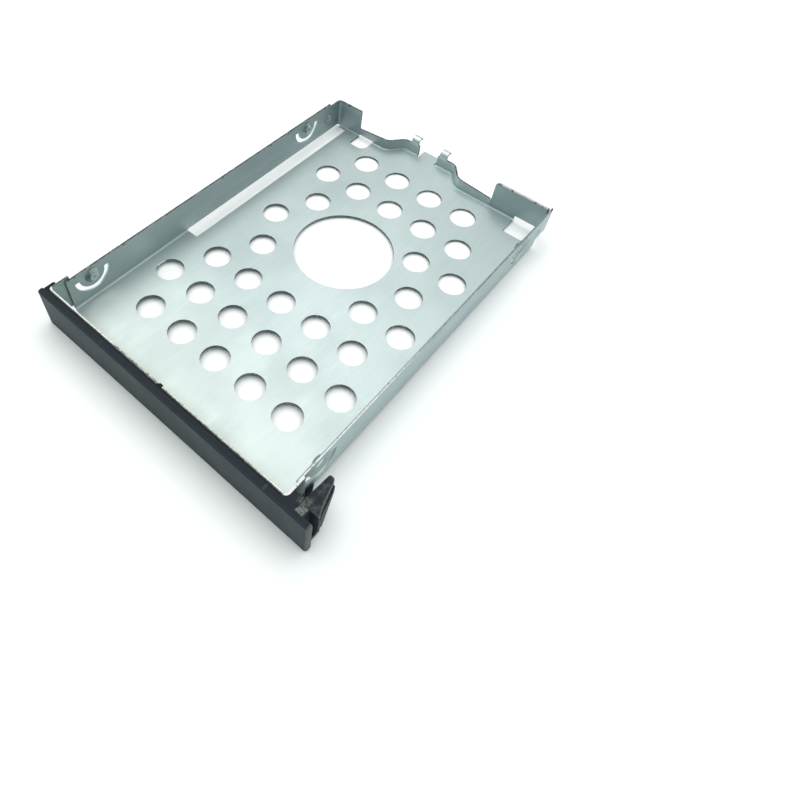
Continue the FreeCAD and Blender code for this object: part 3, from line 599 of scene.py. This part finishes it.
def zinc_plate():
    """Bright zinc on rolled steel: a cool grey-green, satin, with sheared edges left darker, and with shade and
    highlights painted in places.
    """
    material, wire, shader, place = new_material("zinc_plate", ZINC_LOOK)
    surface = Surface(wire, place)
    uneven = use(wire, MOTTLE, place=place, **ZINC_MOTTLE)
    edges = use(wire, EDGE_WEAR, place=place, **ZINC_WEAR)
    scratch = use(wire, HAIRLINES, place=place, spread=ZINC_HAIRLINES)["Scratch"]
    rolled = wire.noise(wire.stretched(place, 0.0, ROLLED_STRETCH), *ROLLED_NOISE)
    fine = wire.noise(place, *FINE_NOISE)
    grain = wire.plus(wire.times(rolled, ROLLED_SHARE), wire.times(fine, FINE_SHARE))
    torn = wire.noise(place, *TORN_NOISE)
    sheared = sheared_faces(surface)
    level = wire.fade(surface.facing_z, *FACING_UP)
    # the outer face of the right wall, which gets painted shade
    outside_right = wire.times(wire.fade(surface.facing_x, *FACING_RIGHT), wire.fade(surface.x, *RIGHT_WALL),
                               RIGHT_WALL_SHARE)
    near_pip = wire.math("MINIMUM", *(surface.from_axis(*pip) for pip in PIPS))

    colour = wire.mix(uneven["Cloud"], *ZINC_CLOUDS)
    colour = wire.lay(colour, GRAIN, wire.fade(grain, *GRAIN_LEVELS))
    colour = wire.lay(colour, SPECKS, uneven["Speck"])
    colour = wire.lay(colour, SCRATCHES, scratch)
    colour = tint_floor(surface, colour, level)
    # painted shade and highlights on the walls, the back edge, the pips and the right wall
    colour = shade_walls(surface, colour, outside_right)
    colour = back_edge(surface, colour)
    colour, polished = pip_light_and_polish(surface, colour, near_pip)
    colour = right_wall_shade(surface, colour, outside_right, near_pip)
    colour = cut_edges(surface, colour, sheared, torn)
    colour = wire.lay(colour, RUBBED_EDGES, edges["Wear"])
    colour = nicked_edges(surface, colour)
    wire.feed(shader["Base Color"], colour)
    shader["Metallic"].default_value = 1.0

    rough = wire.plus(wire.fade(uneven["Cloud"], 0.0, 1.0, *ZINC_ROUGHNESS),
                      wire.times(wire.fade(grain, *GRAIN_ROUGH_LEVELS), GRAIN_ROUGH),
                      wire.times(scratch, SCRATCH_ROUGH), wire.times(sheared, SHEARED_ROUGH),
                      wire.times(polished, POLISHED_ROUGH))
    wire.feed(shader["Roughness"], rough)

    # the dents that the dimples leave on the inner faces of the walls
    dent = wire.times(wire.fade(surface.from_axis(*DIMPLE), *DENT_SLOPE),
                      wire.fade(surface.off_middle(), *INNER_FACES))
    pressed = wire.bump(wire.times(dent, -DIMPLE_RISE * MM), 1.0, 1.0)
    relief = wire.plus(wire.times(grain, GRAIN_RELIEF), wire.times(uneven["Speck"], SPECK_RELIEF),
                       wire.times(scratch, SCRATCH_RELIEF), wire.times(sheared, torn, TORN_RELIEF))
    wire.feed(shader["Normal"], wire.bump(relief, ZINC_BUMP_STRENGTH, ZINC_BUMP_DEPTH * MM, Normal=pressed))
    return material


# The moulding as it is all over the bezel
MOULDING_LOOK = (0.02, 0.024, 0.028)
MOULDING = (0.0065, 0.0100, 0.0155)
# a lighter tint on the front faces: partly painted light reflected from the table, partly their finer texture
MOULDING_FRONT = Tint((0.034, 0.055, 0.062), 1.0)
MOULDING_FACING_FRONT = (-0.5, -0.9)
MOULDING_MOTTLE = {"slow": 120.0, "fast": 2600.0}
MOULDING_WEAR = {"reach": 0.25 * MM, "patch": 320.0}
MOULDING_HAIRLINES = 700.0
MOULDING_CLOUDS = Tint((0.040, 0.050, 0.055), 0.12)
MOULDING_SPECKS = Tint((0.034, 0.043, 0.048), 0.25)
MOULDING_SCRATCHES = Tint((0.10, 0.11, 0.115), 0.20)
MOULDING_EDGES = Tint((0.13, 0.145, 0.155), 0.30)

# Painted shade along the seam with the tray
SEAM_SHADE = Tint((0.0015, 0.002, 0.003), 0.75)
SEAM_FACING_UP = (0.5, 0.8)
SEAM_ALONG = (-54.4, -54.0)
SEAM_ACROSS = (33.0, 32.0)

# Wear and a painted highlight on the guide ear's edges, wear of its faces, and a painted highlight on the plate's
# right end
EAR_ACROSS = (34.8, 35.2)
EAR_ALONG = (-53.4, -53.0)
EAR_EDGE_WEAR_AND_HIGHLIGHT = Tint((0.26, 0.27, 0.265), 0.7)
EAR_HANDLED = Tint((0.12, 0.125, 0.122), 0.4)
HANDLED_NOISE = (1.6, 5.0, 0.7)
HANDLED_LEVELS = (0.45, 0.7)
PLATE_END_HIGHLIGHT = Tint((0.16, 0.175, 0.18), 0.6)
PLATE_END_ACROSS = (39.6, 40.1)
PLATE_END_ALONG = (-53.6, -54.0)

# Pale scuffs on the foot of the ear: where each lies across and along, and its share
SCUFF_COLOUR = (0.19, 0.195, 0.175)
SCUFFS = (((36.2, 37.6), (-54.3, -52.9), 0.9), ((35.7, 37.2), (-52.7, -51.2), 0.42))
SCUFF_SOFT = 0.35
SCUFF_UP = (9.0, 11.0)
SCUFF_NOISE = (0.6, 5.0, 0.7)
SCUFF_LEVELS = (0.36, 0.58)

# Gloss and relief of the moulding
MOULDING_ROUGHNESS = (0.50, 0.56)
MOULDING_SPECK_ROUGH = 0.10
SCUFF_ROUGH = 0.2
MOULDING_SPECULAR = 0.22
MOULDING_SCRATCH_RELIEF = -0.6
SCUFF_RELIEF = 1.5
MOULDING_BUMP_STRENGTH = 0.25
MOULDING_BUMP_DEPTH = 0.04


def scuffed_foot(surface):
    """A mask on the pale scuffs at the foot of the ear."""
    wire = surface.wire
    patches = [wire.times(wire.band(surface.x, *across, SCUFF_SOFT), wire.band(surface.y, *along, SCUFF_SOFT), share)
               for across, along, share in SCUFFS]
    return wire.times(wire.most(*patches), wire.fade(surface.z, *SCUFF_UP),
                      wire.fade(wire.noise(surface.place, *SCUFF_NOISE), *SCUFF_LEVELS))


def black_moulding():
    """Black moulded plastic with a fine eroded texture, greyed where it has been handled, with painted shade along
    the seam with the tray and painted highlights on the ear's edges and the plate's right end.
    """
    material, wire, shader, place = new_material("black_moulding", MOULDING_LOOK)
    surface = Surface(wire, place)
    uneven = use(wire, MOTTLE, place=place, **MOULDING_MOTTLE)
    edges = use(wire, EDGE_WEAR, place=place, **MOULDING_WEAR)
    scratch = use(wire, HAIRLINES, place=place, spread=MOULDING_HAIRLINES)["Scratch"]
    rubbed = scuffed_foot(surface)

    # the front faces are lighter: partly painted light, partly their finer texture
    colour = wire.lay(MOULDING, MOULDING_FRONT, wire.fade(surface.facing_y, *MOULDING_FACING_FRONT))
    colour = wire.lay(colour, MOULDING_CLOUDS, uneven["Cloud"])
    colour = wire.lay(colour, MOULDING_SPECKS, uneven["Speck"])
    colour = wire.lay(colour, MOULDING_SCRATCHES, scratch)
    colour = wire.lay(colour, MOULDING_EDGES, edges["Wear"])
    colour = wire.lay(colour, SEAM_SHADE, wire.fade(surface.facing_z, *SEAM_FACING_UP), wire.fade(surface.y, *SEAM_ALONG),
                      wire.fade(surface.x, *SEAM_ACROSS))

    # the ear's edges are rubbed and carry a painted highlight, its faces are handled, the plate's right end carries a
    # painted highlight, and the ear's foot is scuffed
    ear = wire.times(wire.fade(surface.x, *EAR_ACROSS), wire.fade(surface.y, *EAR_ALONG))
    colour = wire.lay(colour, EAR_EDGE_WEAR_AND_HIGHLIGHT, ear, edges["Wear"])
    colour = wire.lay(colour, EAR_HANDLED, ear, wire.fade(wire.noise(place, *HANDLED_NOISE), *HANDLED_LEVELS))
    colour = wire.lay(colour, PLATE_END_HIGHLIGHT, wire.fade(surface.x, *PLATE_END_ACROSS),
                      wire.fade(surface.y, *PLATE_END_ALONG))
    colour = wire.mix(rubbed, colour, SCUFF_COLOUR)
    wire.feed(shader["Base Color"], colour)

    rough = wire.plus(wire.fade(uneven["Cloud"], 0.0, 1.0, *MOULDING_ROUGHNESS),
                      wire.times(uneven["Speck"], MOULDING_SPECK_ROUGH), wire.times(rubbed, SCUFF_ROUGH))
    wire.feed(shader["Roughness"], rough)
    shader["Specular IOR Level"].default_value = MOULDING_SPECULAR
    relief = wire.plus(uneven["Speck"], wire.times(scratch, MOULDING_SCRATCH_RELIEF),
                       wire.times(rubbed, SCUFF_RELIEF))
    wire.feed(shader["Normal"], wire.bump(relief, MOULDING_BUMP_STRENGTH, MOULDING_BUMP_DEPTH * MM))
    return material


# The sheet of paper on the table
PAPER_LOOK = (0.95, 0.95, 0.95)
PAPER_CLOUDS = ((0.842, 0.860, 0.852), (0.862, 0.880, 0.872))
PAPER_NOISE = (60.0, 3.0)
PAPER_ROUGHNESS = 0.9
PAPER_SPECULAR = 0.1


def white_paper():
    """The pale sheet on the table."""
    material, wire, shader, place = new_material("white_paper", PAPER_LOOK)
    wire.feed(shader["Base Color"], wire.mix(wire.noise(place, *PAPER_NOISE), *PAPER_CLOUDS))
    shader["Roughness"].default_value = PAPER_ROUGHNESS
    shader["Specular IOR Level"].default_value = PAPER_SPECULAR
    return material


def dress(node, material):
    """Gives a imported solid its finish."""
    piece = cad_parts[node]
    piece.data.materials.clear()
    piece.data.materials.append(material)


def finish_piece(shape, name, material, smooth=True):
    """Makes an object of a finished shape, which rides with the caddy."""
    bmesh.ops.remove_doubles(shape, verts=shape.verts, dist=MERGE_DISTANCE)
    bmesh.ops.recalc_face_normals(shape, faces=shape.faces)
    for face in shape.faces:
        face.smooth = smooth
    mesh = bpy.data.meshes.new(name)
    shape.to_mesh(mesh)
    shape.free()
    mesh.materials.append(material)
    piece = bpy.data.objects.new(name, mesh)
    bpy.context.scene.collection.objects.link(piece)
    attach(piece, "root")
    return piece


def press_dimple(name, side, material):
    """A shallow dome that stands out from the outer face of a side wall."""
    radius = (DIMPLE_RADIUS ** 2 + DIMPLE_RISE ** 2) / (2 * DIMPLE_RISE)
    shape = bmesh.new()
    bmesh.ops.create_uvsphere(shape, u_segments=DIMPLE_SEGMENTS, v_segments=DIMPLE_RINGS, radius=radius * MM)
    everything = shape.verts[:] + shape.edges[:] + shape.faces[:]
    bmesh.ops.bisect_plane(shape, geom=everything, plane_co=(0, 0, (radius - DIMPLE_RISE - DIMPLE_SUNK) * MM),
                           plane_no=(0, 0, 1), clear_inner=True)
    bmesh.ops.holes_fill(shape, edges=shape.edges)
    bmesh.ops.rotate(shape, verts=shape.verts, matrix=Matrix.Rotation(side * math.pi / 2, 3, "Y"))
    face = side * (BAY_HALF_WIDTH + SHEET) - BAY_MIDDLE - side * (radius - DIMPLE_RISE)
    bmesh.ops.translate(shape, verts=shape.verts, vec=Vector((face, *DIMPLE)) * MM)
    finish_piece(shape, name, material)


def round_pip(name, side, place, material):
    """The smooth round cap of a spring pip, on the inner face of a side wall."""
    shape = bmesh.new()
    rim = [shape.verts.new((out * MM, 0.0, up * MM)) for out, up in PIP_PROFILE]
    line = [shape.edges.new(pair) for pair in zip(rim, rim[1:])]
    bmesh.ops.spin(shape, geom=rim + line, cent=(0, 0, 0), axis=(0, 0, 1), angle=2 * math.pi, steps=PIP_STEPS,
                   use_merge=True)
    bmesh.ops.holes_fill(shape, edges=[edge for edge in shape.edges if edge.is_boundary])
    bmesh.ops.rotate(shape, verts=shape.verts, matrix=Matrix.Rotation(-side * math.pi / 2, 3, "Y"))
    bmesh.ops.translate(shape, verts=shape.verts, vec=Vector((side * BAY_HALF_WIDTH - BAY_MIDDLE, *place)) * MM)
    piece = finish_piece(shape, name, material)
    smooth = piece.modifiers.new("smooth", "SUBSURF")
    smooth.levels = PIP_SMOOTHING
    smooth.render_levels = PIP_SMOOTHING


def mould_shade_gusset(material):
    """A low dark gusset between the foot of the guide ear and the right wall, put where that gap lies in shade."""
    low, high = EAR_SHADE_GUSSET_RISE
    shape = bmesh.new()
    plan = shape.faces.new([shape.verts.new((x * MM, y * MM, low * MM)) for x, y in EAR_SHADE_GUSSET])
    risen = bmesh.ops.extrude_face_region(shape, geom=[plan], use_keep_orig=True)["geom"]
    bmesh.ops.translate(shape, verts=[part for part in risen if isinstance(part, bmesh.types.BMVert)],
                        vec=(0.0, 0.0, (high - low) * MM))
    bmesh.ops.bevel(shape, geom=shape.edges[:], offset=EAR_SHADE_GUSSET_BEVEL * MM, offset_type="OFFSET",
                    segments=EAR_SHADE_GUSSET_BEVEL_STEPS, profile=0.5, affect="EDGES", material=-1)
    finish_piece(shape, "ear_shade_gusset", material, smooth=False)


def lay_table():
    """A pale table that touches the caddy where it rests."""
    (front, low), (back, high) = BEZEL_REST, TONGUE_REST
    lean = math.atan2(high - low, back - front)
    mesh = bpy.data.meshes.new("table")
    shape = bmesh.new()
    bmesh.ops.create_grid(shape, x_segments=2, y_segments=2, size=TABLE_SIZE / 2 * MM)
    bmesh.ops.rotate(shape, verts=shape.verts, matrix=Matrix.Rotation(lean, 3, "X"))
    bmesh.ops.translate(shape, verts=shape.verts, vec=Vector((0.0, 0.0, low - front * math.tan(lean))) * MM)
    shape.to_mesh(mesh)
    shape.free()
    table = bpy.data.objects.new("table", mesh)
    mesh.materials.append(white_paper())
    bpy.context.scene.collection.objects.link(table)


def hang_light(name, place, size, power, colour=WHITE, in_gloss=True):
    """A square soft light that looks at the caddy."""
    light = bpy.data.lights.new(name, "AREA")
    light.shape = "SQUARE"
    light.size = size * MM
    light.energy = power
    light.color = colour
    lamp = bpy.data.objects.new(name, light)
    lamp.location = Vector(place) * MM
    lamp.rotation_euler = (-Vector(place)).to_track_quat("-Z", "Y").to_euler()
    lamp.visible_glossy = in_gloss
    bpy.context.scene.collection.objects.link(lamp)


def light_studio():
    """A dim white room, a large soft light and a small warm one on the left, and a wide fill kept out of gloss."""
    world = bpy.data.worlds.new("studio")
    world.use_nodes = True
    background = world.node_tree.nodes["Background"]
    background.inputs["Color"].default_value = (*ROOM_COLOUR, 1.0)
    background.inputs["Strength"].default_value = ROOM_STRENGTH
    bpy.context.scene.world = world
    hang_light("softbox", *SOFTBOX)
    hang_light("warm_panel", *WARM_PANEL, WARM)
    hang_light("fill", *FILL, in_gloss=False)


def set_camera():
    """The camera of the photograph, with its frame moved sideways and down as the photograph's is."""
    lens = bpy.data.cameras.new("camera")
    lens.lens = LENS_LENGTH
    lens.sensor_width = SENSOR_WIDTH
    lens.shift_x = LENS_SHIFT
    lens.shift_y = -LENS_SHIFT
    lens.clip_start = NEAREST_SEEN * MM
    camera = bpy.data.objects.new("camera", lens)
    turn = Matrix((LENS_RIGHT, -Vector(LENS_DOWN), -Vector(LENS_AHEAD))).transposed()
    camera.matrix_world = Matrix.Translation(Vector(LENS_PLACE) * MM) @ turn.to_4x4()
    bpy.context.scene.collection.objects.link(camera)
    bpy.context.scene.camera = camera


zinc = zinc_plate()
dress("tray", zinc)
plastic = black_moulding()
dress("bezel", plastic)
for side, hand in ((-1, "left"), (1, "right")):
    press_dimple(f"{hand}_dimple", side, zinc)
    for end, place in zip(("front", "back"), PIPS):
        round_pip(f"{hand}_{end}_pip_cap", side, place, zinc)
mould_shade_gusset(plastic)
lay_table()
light_studio()
set_camera()
bpy.context.scene.view_settings.view_transform = "Standard"
